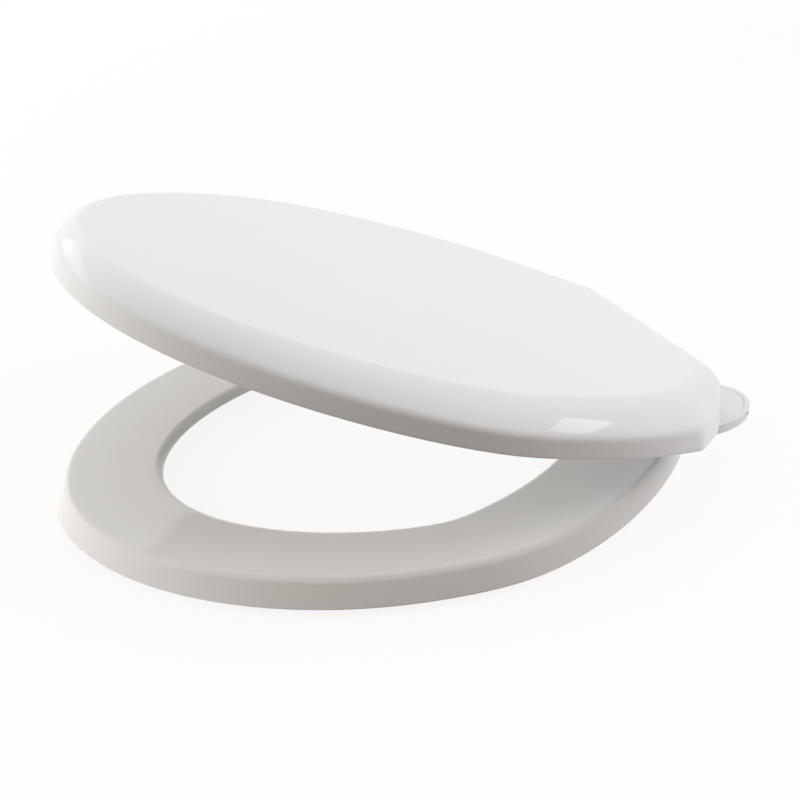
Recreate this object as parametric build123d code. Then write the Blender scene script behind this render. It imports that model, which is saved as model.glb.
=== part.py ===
from build123d import *

import os
from math import cos, radians, sin, tan

# The origin lies midway between the fixing slots, on the pan. +X is the right side, the nose points to -Y.

# Lid: plan, closed
LID_HALF_WIDTH = 182.1
LID_WIDEST_Y = -259.6
LID_NOSE_LENGTH = 207.2
LID_NOSE_POWER_X = 2.12
LID_NOSE_POWER_Y = 1.61
LID_SIDE_POWER = 1.89
LID_SHOULDER_X = 153.9
LID_SHOULDER_Y = -102.1
LID_SHOULDER_ANGLE = 27.0
LID_FLANK_ANGLE = 36.9
LID_REAR_Y = -35.1
LID_REAR_BULGE = 1.1

# Lid: section
LID_SKIRT_Z = 20.7
LID_WALL = 4.5
LID_SKIRT = 10.3
LID_ROLL_RADIUS = 6.0
LID_ROLL_TURN = 45.0
LID_CROWN_RADIUS = 42.0
LID_CROWN_END = 11.4
LID_CROWN_STEPS = 6
LID_NOSE_SHARE = 0.45
LID_REAR_RIM_WIDTH = 9.0
LID_REAR_FULLNESS = 4.0
LID_FLANK_LEAN = 8.0
LID_EASE_HEIGHT = 20.0
LID_FOOT_SHOULDER_ROUND = 18.0
LID_TOP_SHOULDER_ROUND = 100.0
LID_CORNER_ROUND = 7.0
LID_SCOOP_RADIUS = 31.5
LID_SCOOP_Y = -36.1
LID_SCOOP_Z = 8.4
LID_REST_ANGLE = 19.4

# Seat ring
RING_HALF_WIDTH = 173.0
RING_WIDEST_Y = -232.4
RING_NOSE_LENGTH = 231.0
RING_NOSE_POWER_X = 1.88
RING_NOSE_POWER_Y = 1.95
RING_TAIL_LENGTH = 222.0
RING_TAIL_POWER = 1.64
RING_REAR_Y = -36.5
RING_CORNER_RADIUS = 14.0
RING_BOTTOM_Z = 5.0
RING_TOP_Z = 21.8
RING_LEAN = 7.0
RING_WALL = 4.5
RING_OUTER_ROUND = 4.4
RING_INNER_ROUND = 6.0
RING_INNER_TOP_Z = 18.0
RING_INNER_SLOPE = 4.0
RING_LIP_Z = 11.3
RING_FOOT_ROUND = 1.2
HOLE_HALF_WIDTH = 111.4
HOLE_MIDDLE_Y = -253.8
HOLE_NOSE_LENGTH = 140.7
HOLE_TAIL_LENGTH = 152.0
HOLE_POWER_X = 2.04
HOLE_POWER_Y = 1.53

# Hinges
AXIS_Y = -26.0
AXIS_Z = 30.0
LUG_RADIUS = 6.5
LUG_WIDTH = 11.0
POST_WIDTH = 14.0
POST_DEPTH = 9.0
POST_X = 43.0
LUG_GAP = 1.0
LUG_ROOT = 40.0
LUG_SINK = 1.0
LID_ROOT_DROP = 1.5
PIN_RADIUS = 3.5
PIN_HEAD_RADIUS = 6.0
PIN_HEAD = 2.0
PIN_TAIL = 2.5
CLIP_THICKNESS = 1.2
BUSH_WALL = 1.4
BUSH_FLANGE = 0.7
BUSH_FLANGE_RADIUS = 6.2
RUNNING_CLEARANCE = 0.05
FIT_CLEARANCE = 0.03

# Hinge feet
PLATE_X = 52.5
PLATE_Y = -24.0
PLATE_HALF_WIDTH = 30.5
PLATE_HALF_LENGTH = 42.5
PLATE_FRONT_Y = -33.5
PLATE_TOP_Z = 8.0
PLATE_EDGE_ROUND = 0.8
PAD_THICKNESS = 1.2
PAD_INSET = 1.5
SLOT_X = 60.0
SLOT_LENGTH = 24.0
SLOT_WIDTH = 9.0
HEAD_SEAT_WIDTH = 18.0
HEAD_SEAT_Z = 4.2
CAP_THICKNESS = 1.6
CAP_INSET = 4.0
CAP_GAP = 0.2
CAP_EDGE_ROUND = 0.4
CAP_FRONT_GAP = 6.5

# Buffers
BUFFER_RADIUS = 9.0
BUFFER_ROUND = 1.5
STEM_RADIUS = 3.0
STEM_LENGTH = 6.0
STEM_ROOM = 1.0
BOSS_RADIUS = 9.5
BOSS_SINK = 1.0
FRONT_BUFFER_X = 92.0
FRONT_BUFFER_Y = -385.0
REAR_BUFFER_INSET = 56.0
REAR_BUFFER_Y = -150.0
LID_BOSS_Z = 26.0
LID_BUFFER_Z = 21.2

SIDES = {"left": -1, "right": 1}
OUTLINE_STEPS = 8
LID_RISE = LID_SKIRT + LID_ROLL_RADIUS * sin(radians(LID_ROLL_TURN))
LID_HEIGHT = LID_RISE + LID_CROWN_RADIUS * (cos(radians(LID_CROWN_END)) - sin(radians(LID_ROLL_TURN)))
REAR_BUFFER_X = RING_HALF_WIDTH - REAR_BUFFER_INSET
RING_LUG_X = POST_X - POST_WIDTH / 2 - LUG_GAP - LUG_WIDTH
LID_LUG_X = POST_X + POST_WIDTH / 2 + LUG_GAP
BUSH_RADIUS = PIN_RADIUS + RUNNING_CLEARANCE + BUSH_WALL


def bow(half_width, length, power_x, power_y):
    """Quarter outline from the widest line to the tip, as (x, distance) pairs."""
    turns = [radians(90) * i / OUTLINE_STEPS for i in range(OUTLINE_STEPS + 1)]
    return [
        (half_width * max(cos(turn), 0) ** (2 / power_x), length * sin(turn) ** (2 / power_y))
        for turn in turns
    ]


def mirrored(points):
    """The same points on the other side, from last to first."""
    return [(-x, y) for x, y in reversed(points)]


def lid_outline(side, nose, flank, back, round_off):
    """Plan of the lid, drawn in from its foot by these amounts, with rounded shoulders."""
    half_width = LID_HALF_WIDTH - side
    inward = radians(LID_SHOULDER_ANGLE)
    shoulder_x = LID_SHOULDER_X - flank * cos(inward)
    shoulder_y = LID_SHOULDER_Y - flank * sin(inward)
    corner_y = LID_REAR_Y - back
    corner_x = shoulder_x - (corner_y - shoulder_y) * tan(radians(LID_FLANK_ANGLE))
    edge = [
        (
            half_width - (half_width - shoulder_x) * share**LID_SIDE_POWER,
            LID_WIDEST_Y + (shoulder_y - LID_WIDEST_Y) * share,
        )
        for share in (1.0, 0.75, 0.5, 0.25)
    ]
    front = bow(half_width, LID_NOSE_LENGTH - nose, LID_NOSE_POWER_X, LID_NOSE_POWER_Y)
    edge += [(x, LID_WIDEST_Y - reach) for x, reach in front]
    edge += mirrored(edge)[1:]
    face = make_face(
        [
            Spline(*edge),
            Line(edge[-1], (-corner_x, corner_y)),
            ThreePointArc((-corner_x, corner_y), (0, corner_y + LID_REAR_BULGE), (corner_x, corner_y)),
            Line((corner_x, corner_y), edge[0]),
        ]
    )
    face = fillet(face.vertices().group_by(Axis.Y)[0], round_off)
    return fillet(face.vertices().group_by(Axis.Y)[-1], LID_CORNER_ROUND)


def lid_section(height, side, wall):
    """Outline of the lid's skin at a height above its foot, or of its hollow inside a wall."""
    eased = min(height / LID_EASE_HEIGHT, 1)
    round_off = LID_FOOT_SHOULDER_ROUND + (LID_TOP_SHOULDER_ROUND - LID_FOOT_SHOULDER_ROUND) * eased
    flank = side + LID_FLANK_LEAN * eased
    climbed = min(max(height - LID_SKIRT, 0) / (LID_HEIGHT - LID_SKIRT), 1)
    back = LID_REAR_RIM_WIDTH * (1 - (1 - climbed**LID_REAR_FULLNESS) ** (1 / LID_REAR_FULLNESS))
    outline = lid_outline(side + wall, LID_NOSE_SHARE * side + wall, flank + wall, back + wall, round_off)
    return Pos(0, 0, LID_SKIRT_Z + height - wall) * outline


def lid_block(wall):
    """Solid under the lid's skin: upright skirt, rolled edge, crowned rim and flat panel."""
    foot = lid_section(0, 0, wall)
    sections = []
    for share in (0, 0.5, 1):
        roll = radians(LID_ROLL_TURN * share)
        side = LID_ROLL_RADIUS * (1 - cos(roll))
        sections.append(lid_section(LID_SKIRT + LID_ROLL_RADIUS * sin(roll), side, wall))
    steepest = radians(90 - LID_ROLL_TURN)
    rim_start = LID_ROLL_RADIUS * (1 - sin(steepest))
    for step in range(1, LID_CROWN_STEPS + 1):
        slope = steepest + (radians(LID_CROWN_END) - steepest) * step / LID_CROWN_STEPS
        side = rim_start + LID_CROWN_RADIUS * (sin(steepest) - sin(slope))
        sections.append(lid_section(LID_RISE + LID_CROWN_RADIUS * (cos(slope) - cos(steepest)), side, wall))
    return loft([foot, sections[0]], ruled=True) + loft(sections)


def across(profile, start, width):
    """Extrude a profile drawn in (y, z) along X."""
    return Pos(start, 0, 0) * extrude(Plane.YZ * profile, width)


def lug(root, start, width):
    """Hinge lug: an eye round the axis joined by a web to two points of its carrier."""
    eye = Pos(AXIS_Y, AXIS_Z) * Circle(LUG_RADIUS)
    web = make_hull(eye.edges() + [Line(*root)])
    return across(web, start, width)


def bore(radius, start, width):
    """Round bar on the hinge axis."""
    return across(Pos(AXIS_Y, AXIS_Z) * Circle(radius), start, width)


def both_sides(solid):
    """A right-hand solid and its mirror image."""
    return solid + mirror(solid, about=Plane.YZ)


def stem_hole():
    """Blind hole for a buffer's stem, upwards from z = 0."""
    return extrude(Circle(STEM_RADIUS + FIT_CLEARANCE), STEM_LENGTH + STEM_ROOM)


def closed_lid():
    """The lid lying on the ring."""
    shell = lid_block(0) - lid_block(LID_WALL)
    scoop = Pos(LID_SCOOP_Y, LID_SCOOP_Z) * Circle(LID_SCOOP_RADIUS)
    shell -= across(scoop, -LID_HALF_WIDTH, 2 * LID_HALF_WIDTH)
    ceiling = LID_SKIRT_Z + LID_HEIGHT - LID_WALL
    root = ((AXIS_Y - LUG_ROOT, ceiling + LUG_SINK), (AXIS_Y - LUG_ROOT / 2, ceiling - LID_ROOT_DROP))
    shell += both_sides(lug(root, LID_LUG_X, LUG_WIDTH))
    foot = Pos(FRONT_BUFFER_X, FRONT_BUFFER_Y, LID_BOSS_Z)
    shell += both_sides(foot * extrude(Circle(BOSS_RADIUS), ceiling + BOSS_SINK - LID_BOSS_Z))
    shell -= both_sides(foot * stem_hole())
    return shell - both_sides(bore(BUSH_RADIUS + FIT_CLEARANCE, LID_LUG_X, LUG_WIDTH))


def ring_outline(inset):
    """Plan of the ring, drawn in by this amount."""
    half_width = RING_HALF_WIDTH - inset
    tail = RING_TAIL_LENGTH - inset
    rear_share = (RING_REAR_Y - inset - RING_WIDEST_Y) / tail
    edge = []
    for share in (1.0, 0.86, 0.7, 0.52, 0.34, 0.17):
        reach = rear_share * share
        narrowing = (1 - reach**RING_TAIL_POWER) ** (1 / RING_TAIL_POWER)
        edge.append((half_width * narrowing, RING_WIDEST_Y + reach * tail))
    nose = bow(half_width, RING_NOSE_LENGTH - inset, RING_NOSE_POWER_X, RING_NOSE_POWER_Y)
    edge += [(x, RING_WIDEST_Y - reach) for x, reach in nose]
    edge += mirrored(edge)[1:]
    face = make_face([Spline(*edge), Line(edge[-1], edge[0])])
    return fillet(face.vertices(), RING_CORNER_RADIUS - inset)


def hole_outline(inset):
    """Plan of the ring's opening, widened by this amount."""
    half_width = HOLE_HALF_WIDTH + inset
    nose = bow(half_width, HOLE_NOSE_LENGTH + inset, HOLE_POWER_X, HOLE_POWER_Y)
    tail = bow(half_width, HOLE_TAIL_LENGTH + inset, HOLE_POWER_X, HOLE_POWER_Y)
    side = [(x, HOLE_MIDDLE_Y + reach) for x, reach in reversed(tail)]
    side += [(x, HOLE_MIDDLE_Y - reach) for x, reach in nose[1:]]
    points = side + mirrored(side)[1:-1]
    return make_face(Spline(*points, periodic=True))


def buffer_places():
    """Name and plan position of each buffer under the ring."""
    places = {}
    for name, side in SIDES.items():
        places[f"front_{name}"] = (side * FRONT_BUFFER_X, FRONT_BUFFER_Y)
        places[f"rear_{name}"] = (side * REAR_BUFFER_X, REAR_BUFFER_Y)
    return places


def opening():
    """Space inside the ring and above it: the hole, its rounded edge and the top's slope."""
    slope = radians(RING_INNER_SLOPE)
    sections = []
    for share in (0, 0.25, 0.5, 0.75, 1):
        turn = (radians(90) - slope) * share
        height = RING_INNER_TOP_Z - RING_INNER_ROUND * (1 - sin(turn))
        sections.append(Pos(0, 0, height) * hole_outline(RING_INNER_ROUND * (1 - cos(turn))))
    width = RING_HALF_WIDTH - HOLE_HALF_WIDTH
    top = Pos(0, 0, RING_INNER_TOP_Z + width * tan(slope)) * hole_outline(RING_INNER_ROUND + width)
    return (
        extrude(hole_outline(0), RING_INNER_TOP_Z - RING_INNER_ROUND)
        + loft(sections)
        + loft([sections[-1], top], ruled=True)
    )


def seat_ring():
    """The ring, hollow below, with buffer bosses and hinge lugs."""
    foot = Pos(0, 0, RING_BOTTOM_Z) * ring_outline(0)
    wall = loft([foot, Pos(0, 0, RING_TOP_Z) * ring_outline(RING_LEAN)], ruled=True)
    wall = fillet(wall.faces().sort_by(Axis.Z)[-1].edges(), RING_OUTER_ROUND)
    wall = fillet(wall.faces().sort_by(Axis.Z)[0].edges(), RING_FOOT_ROUND)
    space = opening()
    solid = wall - space
    channel = ring_outline(RING_WALL + RING_LEAN) - hole_outline(RING_WALL)
    hollow = Pos(0, 0, RING_BOTTOM_Z) * extrude(channel, RING_TOP_Z - RING_WALL - RING_BOTTOM_Z)
    body = solid - (hollow - Pos(0, 0, -RING_WALL) * space)
    body -= extrude(hole_outline(RING_WALL), RING_LIP_Z)
    for x, y in buffer_places().values():
        foot = Pos(x, y, RING_BOTTOM_Z)
        body += solid & foot * extrude(Circle(BOSS_RADIUS), RING_TOP_Z)
        body -= foot * stem_hole()
    web_top = (AXIS_Y - LUG_ROOT, RING_INNER_TOP_Z - LUG_SINK)
    web_foot = (RING_REAR_Y - LUG_SINK, RING_BOTTOM_Z + RING_WALL)
    body += both_sides(lug((web_top, web_foot), RING_LUG_X, LUG_WIDTH))
    return body - both_sides(bore(BUSH_RADIUS + FIT_CLEARANCE, RING_LUG_X, LUG_WIDTH))


def buffer(height):
    """Rubber buffer with a stem, standing on z = 0 with the stem up."""
    pad = extrude(Circle(BUFFER_RADIUS), height)
    pad = fillet(pad.faces().sort_by(Axis.Z)[0].edges(), BUFFER_ROUND)
    return pad + Pos(0, 0, height) * extrude(Circle(STEM_RADIUS), STEM_LENGTH)


def plate_outline(inset):
    """Plan of a hinge foot: an oval with a straight front edge."""
    oval = Ellipse(PLATE_HALF_WIDTH - inset, PLATE_HALF_LENGTH - inset)
    keep = Pos(0, PLATE_FRONT_Y + inset - PLATE_Y) * Rectangle(
        2 * PLATE_HALF_WIDTH, 2 * PLATE_HALF_LENGTH, align=(Align.CENTER, Align.MIN)
    )
    return Pos(PLATE_X, PLATE_Y) * (oval & keep)


def cap_outline(inset):
    """Plan of the cover behind the post."""
    front = AXIS_Y + POST_DEPTH / 2 + CAP_FRONT_GAP + inset
    keep = Pos(PLATE_X, front) * Rectangle(
        2 * PLATE_HALF_WIDTH, 2 * PLATE_HALF_LENGTH, align=(Align.CENTER, Align.MIN)
    )
    return plate_outline(CAP_INSET + inset) & keep


def slot(width, length):
    """Plan of a fixing slot."""
    return Pos(SLOT_X, 0) * SlotOverall(length, width)


def hinge_plate():
    """Foot with its post, the bolt's seat and the recess for the cover."""
    plate = Pos(0, 0, PAD_THICKNESS) * extrude(plate_outline(0), PLATE_TOP_Z - PAD_THICKNESS)
    plate = fillet(plate.faces().sort_by(Axis.Z)[-1].edges(), PLATE_EDGE_ROUND)
    foot = Pos(POST_X, AXIS_Y, PLATE_TOP_Z) * Rectangle(POST_WIDTH, POST_DEPTH)
    post = extrude(foot, AXIS_Z - PLATE_TOP_Z)
    post += bore(LUG_RADIUS, POST_X - POST_WIDTH / 2, POST_WIDTH)
    plate += post
    plate -= Pos(0, 0, PLATE_TOP_Z - CAP_THICKNESS) * extrude(cap_outline(0), CAP_THICKNESS)
    seat_depth = PLATE_TOP_Z - CAP_THICKNESS - HEAD_SEAT_Z
    seat_length = SLOT_LENGTH - SLOT_WIDTH + HEAD_SEAT_WIDTH
    plate -= Pos(0, 0, HEAD_SEAT_Z) * extrude(slot(HEAD_SEAT_WIDTH, seat_length), seat_depth)
    plate -= extrude(slot(SLOT_WIDTH, SLOT_LENGTH), HEAD_SEAT_Z)
    return plate - bore(PIN_RADIUS + FIT_CLEARANCE, POST_X - POST_WIDTH / 2, POST_WIDTH)


def plate_cap():
    """Cover let into the top of the foot."""
    cap = Pos(0, 0, PLATE_TOP_Z - CAP_THICKNESS) * extrude(cap_outline(CAP_GAP), CAP_THICKNESS)
    return fillet(cap.faces().sort_by(Axis.Z)[-1].edges(), CAP_EDGE_ROUND)


def plate_pad():
    """Gasket between the foot and the pan."""
    return extrude(plate_outline(PAD_INSET) - slot(SLOT_WIDTH, SLOT_LENGTH), PAD_THICKNESS)


def hinge_pin():
    """Headed pin through the ring's lug, the post and the lid's lug."""
    start = RING_LUG_X - CLIP_THICKNESS - PIN_TAIL
    head = LID_LUG_X + LUG_WIDTH + LUG_GAP / 2
    return bore(PIN_RADIUS, start, head - start) + bore(PIN_HEAD_RADIUS, head, PIN_HEAD)


def pin_clip():
    """Push-on washer at the pin's inner end."""
    start = RING_LUG_X - LUG_GAP / 2 - CLIP_THICKNESS
    washer = bore(PIN_HEAD_RADIUS, start, CLIP_THICKNESS)
    return washer - bore(PIN_RADIUS + FIT_CLEARANCE, start, CLIP_THICKNESS)


def bush(lug_start, flange_start):
    """Flanged bush in a lug, its flange beside the post."""
    sleeve = bore(BUSH_RADIUS, lug_start, LUG_WIDTH) + bore(BUSH_FLANGE_RADIUS, flange_start, BUSH_FLANGE)
    start = min(lug_start, flange_start)
    return sleeve - bore(PIN_RADIUS + RUNNING_CLEARANCE, start, LUG_WIDTH + BUSH_FLANGE)


def raised(solid):
    """A lid piece turned up to where the lid rests."""
    return Pos(0, AXIS_Y, AXIS_Z) * Rot(X=-LID_REST_ANGLE) * Pos(0, -AXIS_Y, -AXIS_Z) * solid


def build():
    """Every piece of the seat by name."""
    pieces = {"lid": raised(closed_lid()), "seat_ring": seat_ring()}
    for name, (x, y) in buffer_places().items():
        pieces[f"seat_buffer_{name}"] = Pos(x, y, 0) * buffer(RING_BOTTOM_Z)
    handed = {
        "lid_buffer": raised(
            Pos(FRONT_BUFFER_X, FRONT_BUFFER_Y, LID_BUFFER_Z) * buffer(LID_BOSS_Z - LID_BUFFER_Z)
        ),
        "hinge_plate": hinge_plate(),
        "plate_cap": plate_cap(),
        "plate_pad": plate_pad(),
        "hinge_pin": hinge_pin(),
        "pin_clip": pin_clip(),
        "lid_bush": raised(bush(LID_LUG_X, LID_LUG_X - BUSH_FLANGE)),
        "ring_bush": bush(RING_LUG_X, RING_LUG_X + LUG_WIDTH),
    }
    for name, solid in handed.items():
        pieces[f"{name}_right"] = solid
        pieces[f"{name}_left"] = mirror(solid, about=Plane.YZ)
    return pieces


os.makedirs("parts", exist_ok=True)
for node, solid in build().items():
    export_step(solid, f"parts/{node}.step")
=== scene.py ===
import logging
import math
from dataclasses import dataclass, field
from enum import Enum
from typing import Sequence

import bpy
import numpy as np
from mathutils import Matrix, Vector


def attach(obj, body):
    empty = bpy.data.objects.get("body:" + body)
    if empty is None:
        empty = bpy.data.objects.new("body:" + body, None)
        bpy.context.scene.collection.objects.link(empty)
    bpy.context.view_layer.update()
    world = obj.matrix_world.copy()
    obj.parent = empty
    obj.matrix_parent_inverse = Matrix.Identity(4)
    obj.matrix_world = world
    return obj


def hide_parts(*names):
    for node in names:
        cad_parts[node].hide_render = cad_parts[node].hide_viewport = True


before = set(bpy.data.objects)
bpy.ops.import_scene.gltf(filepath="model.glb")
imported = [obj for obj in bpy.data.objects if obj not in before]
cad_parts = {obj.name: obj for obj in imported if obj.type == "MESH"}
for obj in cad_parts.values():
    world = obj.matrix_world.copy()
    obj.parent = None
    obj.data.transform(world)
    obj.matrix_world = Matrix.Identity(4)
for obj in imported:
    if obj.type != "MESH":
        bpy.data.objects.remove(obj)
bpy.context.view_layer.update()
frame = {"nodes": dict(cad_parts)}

LOG = logging.getLogger("toilet_seat")
MM = 0.001
MERGE_DISTANCE = 1e-7
BAR_SIDES = 72
SOFT_SEGMENTS = 3
SOFT_ANGLE = 40.0
WHITE = (1.0, 1.0, 1.0, 1.0)

Point = tuple[float, float]
Colour = tuple[float, float, float]


class Body(Enum):
    """Bodies that the remodelled pieces ride on."""

    RING = "ring"
    LID = "lid"


class Slot(Enum):
    """Material slot names for the remodelled pieces, which nothing in this script assigns."""

    LID = "lid"
    SEAT_RING = "seat_ring"


class Ends(Enum):
    """What closes a skin drawn through a row of loops."""

    CAPPED = "capped"
    JOINED = "joined"


class Side(Enum):
    """Left and right, as the sign of X."""

    LEFT = -1
    RIGHT = 1


# Drawing


def spline_through(points: Sequence[Point], steps: int) -> np.ndarray:
    """Smooth curve through points, evenly bent from end to end.

    Args:
        points: Places that the curve passes, in order.
        steps: Samples from one place to the next.

    Returns:
        The curve's samples as rows of (x, y).
    """
    knots = np.array(points, float)
    gaps = np.linalg.norm(np.diff(knots, axis=0), axis=1)
    count = len(knots)
    system = np.eye(count)
    pull = np.zeros((count, 2))
    for i in range(1, count - 1):
        system[i, i - 1 : i + 2] = gaps[i - 1], 2 * (gaps[i - 1] + gaps[i]), gaps[i]
        ahead = (knots[i + 1] - knots[i]) / gaps[i]
        behind = (knots[i] - knots[i - 1]) / gaps[i - 1]
        pull[i] = 6 * (ahead - behind)
    bend = np.linalg.solve(system, pull)
    samples = []
    for i in range(count - 1):
        for t in np.arange(steps) / steps:
            a = 1 - t
            swing = (a**3 - a) * bend[i] + (t**3 - t) * bend[i + 1]
            samples.append(a * knots[i] + t * knots[i + 1] + gaps[i] ** 2 / 6 * swing)
    samples.append(knots[-1])
    return np.array(samples)


def run_of(line: np.ndarray) -> np.ndarray:
    """Distance along a line at each of its points."""
    return np.concatenate([[0.0], np.cumsum(np.linalg.norm(np.diff(line, axis=0), axis=1))])


def evenly(line: np.ndarray, count: int, cut: float = 0.0) -> np.ndarray:
    """Place points at even distances along a line.

    Args:
        line: Rows of (x, y).
        count: Number of steps from the first point to the last.
        cut: Length left off the line's far end.

    Returns:
        count + 1 points.
    """
    run = run_of(line)
    at = np.linspace(0.0, run[-1] - cut, count + 1)
    return np.column_stack([np.interp(at, run, line[:, 0]), np.interp(at, run, line[:, 1])])


def eased_corner(start: np.ndarray, corner: np.ndarray, end: np.ndarray, count: int) -> np.ndarray:
    """Curve from start to end that leaves and arrives along the lines to the corner.

    Args:
        start: First point.
        corner: Place where the two lines would meet.
        end: Last point.
        count: Number of steps.

    Returns:
        count + 1 points.
    """
    t = np.linspace(0.0, 1.0, count + 1)[:, None]
    return (1 - t) ** 2 * start + 2 * t * (1 - t) * corner + t**2 * end


def bow(half_width: float, length: float, power_x: float, power_y: float, steps: int) -> list[Point]:
    """Quarter of an oval from its widest line to its tip.

    Args:
        half_width: Half of the oval's width.
        length: Distance from the widest line to the tip.
        power_x: Fullness across.
        power_y: Fullness along.
        steps: Number of steps.

    Returns:
        Pairs of (x, distance from the widest line).
    """
    points = []
    for i in range(steps + 1):
        turn = math.pi / 2 * i / steps
        across = max(math.cos(turn), 0.0) ** (2 / power_x)
        points.append((half_width * across, length * math.sin(turn) ** (2 / power_y)))
    return points


def both_halves(half: np.ndarray) -> np.ndarray:
    """Close a right-hand outline, which runs from the nose to the rear, with its mirror image."""
    other = half[-2:0:-1] * np.array([-1.0, 1.0])
    return np.concatenate([half, other])


def at_height(plan: np.ndarray, height: float) -> np.ndarray:
    """A plan outline as a loop of points at one height."""
    return np.column_stack([plan, np.full(len(plan), height)])


def unit(rows: np.ndarray) -> np.ndarray:
    """Each row divided by its own length."""
    return rows / np.linalg.norm(rows, axis=1)[:, None]


# Modelling


def select_only(*objects: bpy.types.Object) -> None:
    """Select some objects and nothing else.

    Args:
        objects: What to select; the first one becomes active.
    """
    bpy.ops.object.select_all(action="DESELECT")
    for item in objects:
        item.select_set(True)
    bpy.context.view_layer.objects.active = objects[0]


def named(name: str) -> bpy.types.Object:
    """Name the active object and its mesh.

    Args:
        name: Name for both.

    Returns:
        The active object.
    """
    piece = bpy.context.active_object
    piece.name = name
    piece.data.name = name
    return piece


def skin(name: str, loops: Sequence[np.ndarray], ends: Ends) -> bpy.types.Object:
    """Extrude a circle once for each loop and lay every corner on its loop.

    Args:
        name: Name of the piece.
        loops: Closed loops of equal length, in millimetres, from one end of the skin to the other.
        ends: Whether the skin ends in flat caps or joins up with itself.

    Returns:
        The closed piece, with its faces outwards.
    """
    count = len(loops[0])
    rows = list(loops) + ([loops[0]] if ends is Ends.JOINED else [])
    bpy.ops.object.select_all(action="DESELECT")
    fill = "NGON" if ends is Ends.CAPPED else "NOTHING"
    bpy.ops.mesh.primitive_circle_add(vertices=count, radius=1.0, fill_type=fill)
    piece = named(name)
    bpy.ops.object.mode_set(mode="EDIT")
    bpy.ops.mesh.select_all(action="SELECT")
    for _ in rows[1:]:
        bpy.ops.mesh.extrude_region_move(TRANSFORM_OT_translate={"value": (0.0, 0.0, 1.0)})
    bpy.ops.object.mode_set(mode="OBJECT")
    for vertex in piece.data.vertices:
        turn = math.atan2(vertex.co.y, vertex.co.x)
        place = rows[round(vertex.co.z)][round(turn / math.tau * count) % count]
        vertex.co = Vector(place) * MM
    tidy_shell(piece)
    return piece


def tidy_shell(piece: bpy.types.Object) -> None:
    """Merge coinciding corners and turn the faces outwards.

    Args:
        piece: The piece to tidy.
    """
    select_only(piece)
    bpy.ops.object.mode_set(mode="EDIT")
    bpy.ops.mesh.select_all(action="SELECT")
    bpy.ops.mesh.remove_doubles(threshold=MERGE_DISTANCE)
    bpy.ops.mesh.normals_make_consistent(inside=False)
    bpy.ops.object.mode_set(mode="OBJECT")


def apply_modifier(piece: bpy.types.Object, modifier: bpy.types.Modifier) -> None:
    """Apply one modifier of a piece."""
    select_only(piece)
    bpy.ops.object.modifier_apply(modifier=modifier.name)


def cut_away(piece: bpy.types.Object, tool: bpy.types.Object) -> None:
    """Subtract a solid from a piece.

    Args:
        piece: The piece to cut.
        tool: The solid to take away, which is deleted afterwards.
    """
    modifier = piece.modifiers.new("cut", "BOOLEAN")
    modifier.operation = "DIFFERENCE"
    modifier.solver = "EXACT"
    modifier.object = tool
    apply_modifier(piece, modifier)
    bpy.data.objects.remove(tool)


def soften_edges(piece: bpy.types.Object, width: float) -> None:
    """Round the sharp edges of a piece.

    Args:
        piece: The piece to soften.
        width: Width of the rounding, in millimetres.
    """
    modifier = piece.modifiers.new("soft_edges", "BEVEL")
    modifier.width = width * MM
    modifier.segments = SOFT_SEGMENTS
    modifier.limit_method = "ANGLE"
    modifier.angle_limit = math.radians(SOFT_ANGLE)
    modifier.harden_normals = False
    apply_modifier(piece, modifier)


def shade(piece: bpy.types.Object, angle: float) -> None:
    """Shade a piece smooth, except across edges sharper than an angle in degrees."""
    select_only(piece)
    bpy.ops.object.shade_smooth_by_angle(angle=math.radians(angle))


def joined(pieces: Sequence[bpy.types.Object]) -> bpy.types.Object:
    """Join pieces into one.

    Args:
        pieces: What to join.

    Returns:
        The first of them, which now holds them all.
    """
    select_only(*pieces)
    bpy.ops.object.join()
    return pieces[0]


def bar_on_axis(radius: float, start: float, width: float, y: float, z: float) -> bpy.types.Object:
    """Round bar along X, in millimetres.

    Args:
        radius: Radius of the bar.
        start: X of its lower end.
        width: Length along X.
        y: Place of its axis along the seat.
        z: Height of its axis.

    Returns:
        The bar, with its place in its mesh.
    """
    bpy.ops.object.select_all(action="DESELECT")
    bpy.ops.mesh.primitive_cylinder_add(vertices=BAR_SIDES, radius=radius * MM, depth=width * MM)
    bar = bpy.context.active_object
    middle = Vector((start + width / 2, y, z)) * MM
    bar.data.transform(Matrix.Translation(middle) @ Matrix.Rotation(math.pi / 2, 4, "Y"))
    return bar


# Finishes


def new_group(
    name: str, inputs: dict[str, tuple[str, object]], outputs: dict[str, str]
) -> bpy.types.NodeTree:
    """Start a shader node group.

    Args:
        name: Name of the group.
        inputs: Socket type and default value by input name.
        outputs: Socket type by output name.

    Returns:
        The group with its input and output nodes.
    """
    group = bpy.data.node_groups.new(name, "ShaderNodeTree")
    for socket, (kind, value) in inputs.items():
        made = group.interface.new_socket(socket, in_out="INPUT", socket_type=kind)
        made.default_value = value
    for socket, kind in outputs.items():
        group.interface.new_socket(socket, in_out="OUTPUT", socket_type=kind)
    group.nodes.new("NodeGroupInput").name = "in"
    group.nodes.new("NodeGroupOutput").name = "out"
    return group


def set_inputs(node: bpy.types.Node, values: dict[str, object]) -> None:
    """Set the inputs of a node by their names."""
    for socket, value in values.items():
        node.inputs[socket].default_value = value


def add_node(
    tree: bpy.types.NodeTree, kind: str, values: dict[str, object] | None = None
) -> bpy.types.Node:
    """Add a shader node and set its inputs.

    Args:
        tree: Tree that the node joins.
        kind: Type of the node, without its first word.
        values: Value by input name.

    Returns:
        The node.
    """
    node = tree.nodes.new(f"ShaderNode{kind}")
    set_inputs(node, values or {})
    return node


def wire(tree: bpy.types.NodeTree, *pairs: tuple[bpy.types.NodeSocket, bpy.types.NodeSocket]) -> None:
    """Link an output to an input, pair by pair."""
    for source, target in pairs:
        tree.links.new(source, target)


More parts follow.
